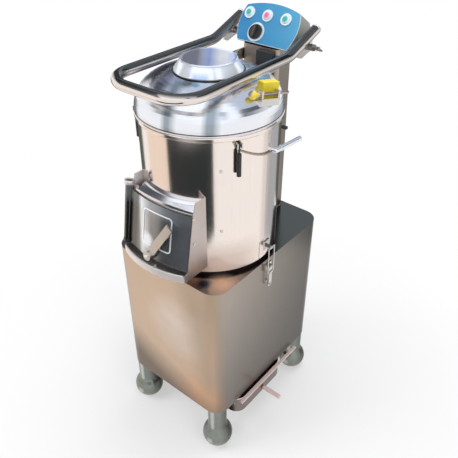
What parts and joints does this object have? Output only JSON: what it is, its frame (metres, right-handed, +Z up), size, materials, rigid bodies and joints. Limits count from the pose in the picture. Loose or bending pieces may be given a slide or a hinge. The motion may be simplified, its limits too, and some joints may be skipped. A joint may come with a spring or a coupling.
{
  "type": "electric potato peeler",
  "caption": "Upright drum peeler: polished drum with domed lid, guard bar, discharge chute and door on a cabinet with ball feet, peel tray and rear control column.",
  "frame": {"origin": "centre of the cabinet's footprint at floor level, under the middle of the cabinet", "axes": "+Z up, -Y towards the discharge chute at the front, +X to the right side where the peel tray slides out"},
  "size_m": [0.4498, 0.543, 1.1927],
  "materials": {
    "cabinet_steel": "satin sheet steel, warm brown-olive",
    "drum_steel": "polished sheet steel with faint turning marks",
    "lid_steel": "bright polished sheet steel",
    "bar_steel": "polished tube",
    "foot_steel": "smooth grey-green metal",
    "fitting_steel": "plain bent and turned steel",
    "black_plastic": "moulded, fine grain",
    "yellow_plastic": "moulded",
    "blue_fascia": "printed plastic sheet",
    "pale_rings": "turned rings",
    "green_cap": "moulded cap",
    "red_cap": "moulded cap",
    "rubber": "moulded ring",
    "abrasive": "bonded grit",
    "cast_parts": "machined casting",
    "motor_paint": "enamel",
    "shaft_steel": "ground bar"
  },
  "bodies": {
    "machine": {"cabinet_shell": "cabinet_steel", "rear_wall": "cabinet_steel", "top_plate": "cabinet_steel", "base_frame": "cabinet_steel", "rear_cover": "cabinet_steel", "feet": "foot_steel", "tray_rails": "fitting_steel", "drum_gasket": "rubber", "drum_floor": "drum_steel", "drum_shell": "drum_steel", "abrasive_liner": "abrasive", "drain_pipe": "black_plastic", "bearing_housing": "cast_parts", "shaft_bearings": "shaft_steel", "drive_belt": "rubber", "motor": "motor_paint", "motor_plate": "fitting_steel", "chute_sides": "drum_steel", "chute_roof": "lid_steel", "chute_floor": "lid_steel", "door_hinge_rod": "black_plastic", "bar_brackets": "fitting_steel", "column": "drum_steel", "hinge_ears": "fitting_steel", "switch_box": "black_plastic", "head_casing": "drum_steel", "fascia_panel": "blue_fascia", "fascia_rings": "pale_rings", "control_gear": "black_plastic", "water_inlet": "lid_steel", "clamp_eyes": "fitting_steel", "toggle_plates": "fitting_steel", "cable_gland": "black_plastic", "screws": "fitting_steel"},
    "disc": {"main_shaft": "shaft_steel", "peeling_disc": "abrasive", "driven_pulley": "cast_parts"},
    "rotor": {"motor_pulley": "cast_parts"},
    "tray": {"peel_tray": "cabinet_steel", "tray_handle": "cabinet_steel"},
    "door": {"chute_door": "lid_steel"},
    "door_lever": {"door_lever": "fitting_steel"},
    "lid": {"lid_shell": "lid_steel", "lid_cap": "lid_steel", "hinge_arms": "fitting_steel", "lid_bracket": "fitting_steel", "safety_block": "yellow_plastic"},
    "lid_pin": {"pull_pin": "yellow_plastic"},
    "guard": {"guard_bar": "bar_steel", "bar_end_caps": "black_plastic"},
    "right_nut": {"right_wing_nut": "fitting_steel"},
    "left_nut": {"left_wing_nut": "fitting_steel"},
    "start": {"start_button": "green_cap"},
    "stop": {"stop_button": "red_cap"},
    "pulse": {"pulse_button": "green_cap"},
    "timer": {"timer_knob": "black_plastic"},
    "clamp_right": {"right_clamp": "black_plastic"},
    "clamp_left": {"left_clamp": "black_plastic"},
    "latch_lever": {"toggle_lever": "fitting_steel"},
    "latch_bail": {"toggle_bail": "fitting_steel"}
  },
  "joints": [
    {"name": "disc_spin", "type": "hinge", "parent": "machine", "child": "disc", "pos_m": [0, -0.037, 0], "axis": [0, 0, 1], "continuous": true},
    {"name": "motor_spin", "type": "hinge", "parent": "machine", "child": "rotor", "pos_m": [0, 0.118, 0], "axis": [0, 0, 1], "continuous": true},
    {"name": "tray_slide", "type": "slide", "parent": "machine", "child": "tray", "axis": [1, 0, 0], "range_m": [0, 0.3]},
    {"name": "guard_lift", "type": "hinge", "parent": "machine", "child": "guard", "pos_m": [0, 0.205, 1.113], "axis": [-1, 0, 0], "range_deg": [0, 84]},
    {"name": "lid_lift", "type": "hinge", "parent": "machine", "child": "lid", "pos_m": [0, 0.152, 1.072], "axis": [-1, 0, 0], "range_deg": [0, 70]},
    {"name": "pin_pull", "type": "slide", "parent": "lid", "child": "lid_pin", "axis": [-0.2978, -0.9444, 0.1392], "range_m": [0, 0.012]},
    {"name": "door_swing", "type": "hinge", "parent": "machine", "child": "door", "pos_m": [-0.107, -0.23514, 0.75524], "axis": [0, -0.1736, -0.9848], "range_deg": [0, 110]},
    {"name": "lever_turn", "type": "hinge", "parent": "door", "child": "door_lever", "pos_m": [-0.003, -0.27551, 0.69331], "axis": [0, 0.9848, -0.1736], "range_deg": [0, 60]},
    {"name": "right_nut_turn", "type": "hinge", "parent": "machine", "child": "right_nut", "pos_m": [0.125, 0.205, 1.113], "axis": [1, 0, 0], "range_deg": [0, 90]},
    {"name": "left_nut_turn", "type": "hinge", "parent": "machine", "child": "left_nut", "pos_m": [-0.125, 0.205, 1.113], "axis": [-1, 0, 0], "range_deg": [0, 90]},
    {"name": "start_press", "type": "slide", "parent": "machine", "child": "start", "axis": [0, 0.8368, -0.5476], "range_m": [0, 0.004], "stiffness_N_per_m": 500},
    {"name": "stop_press", "type": "slide", "parent": "machine", "child": "stop", "axis": [0, 0.8368, -0.5476], "range_m": [0, 0.004], "stiffness_N_per_m": 500},
    {"name": "pulse_press", "type": "slide", "parent": "machine", "child": "pulse", "axis": [0, 0.8368, -0.5476], "range_m": [0, 0.004], "stiffness_N_per_m": 500},
    {"name": "timer_turn", "type": "hinge", "parent": "machine", "child": "timer", "pos_m": [-0.027, 0.18078, 1.12659], "axis": [0, 0.8368, -0.5476], "range_deg": [0, 270]},
    {"name": "clamp_right_swing", "type": "hinge", "parent": "machine", "child": "clamp_right", "pos_m": [0.16268, -0.12718, 0.988], "axis": [-0.4848, -0.8746, 0], "range_deg": [0, 90]},
    {"name": "clamp_left_swing", "type": "hinge", "parent": "machine", "child": "clamp_left", "pos_m": [-0.16268, -0.12718, 0.988], "axis": [-0.4848, 0.8746, 0], "range_deg": [0, 90]},
    {"name": "latch_lift", "type": "hinge", "parent": "machine", "child": "latch_lever", "pos_m": [0.1895, -0.024, 0.597], "axis": [0, -1, 0], "range_deg": [0, 150]},
    {"name": "bail_turn", "type": "hinge", "parent": "latch_lever", "child": "latch_bail", "pos_m": [0.193, -0.024, 0.584], "axis": [0, -1, 0], "range_deg": [-150, 0]}
  ],
  "couplings": [
    {"joint": "motor_spin", "follows": "disc_spin", "ratio": 3.0833},
    {"joint": "lid_lift", "follows": "guard_lift", "ratio": 0.83332},
    {"joint": "bail_turn", "follows": "latch_lift", "ratio": -1}
  ]
}
